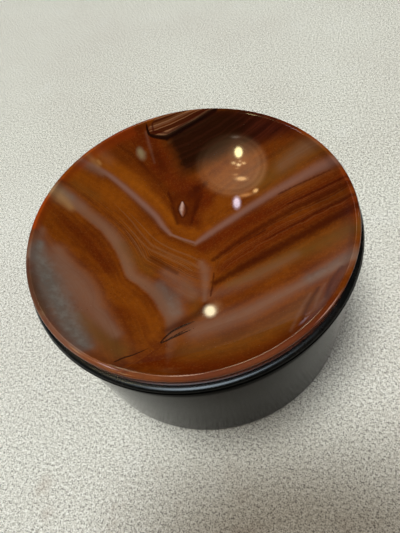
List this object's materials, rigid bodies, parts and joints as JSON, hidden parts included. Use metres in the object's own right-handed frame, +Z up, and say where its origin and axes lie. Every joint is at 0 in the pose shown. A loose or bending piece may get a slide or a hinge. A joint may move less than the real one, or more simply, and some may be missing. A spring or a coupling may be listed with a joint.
{
  "type": "mortar and pestle",
  "caption": "Round agate mortar bowl with a shallow polished hollow, set in a turned black wooden base with a bead round its mouth, with a loose one-piece agate pestle beside it.",
  "frame": {"origin": "centre of the underside of the felt that the base stands on, on the bowl's axis", "axes": "+Z up along the bowl's axis; the pestle lies on the +X side, along Y, with its grinding end towards -Y"},
  "size_m": [0.183, 0.124, 0.0644],
  "materials": {
    "bowl_agate": "polished banded agate",
    "black_wood": "satin black lacquer over turned wood",
    "cork": "pressed cork",
    "cushion_felt": "wool felt",
    "foot_felt": "wool felt",
    "pestle_agate": "polished banded agate"
  },
  "bodies": {
    "base": {"base_body": "black_wood", "centring_ring": "cork", "bowl_cushion": "cushion_felt", "base_felt": "foot_felt"},
    "bowl": {"mortar_bowl": "bowl_agate"},
    "pestle": {"pestle": "pestle_agate"}
  },
  "joints": [
    {"name": "pestle_swing", "type": "hinge", "parent": "base", "child": "pestle", "pos_m": [0.03797, -0.0461, 0.03023], "axis": [-0.4295, -0.7153, -0.5512], "range_deg": [0, 186.5]},
    {"name": "bowl_turn", "type": "hinge", "parent": "base", "child": "bowl", "pos_m": [0, 0, 0.0284], "axis": [0, 0, 1], "continuous": true}
  ]
}
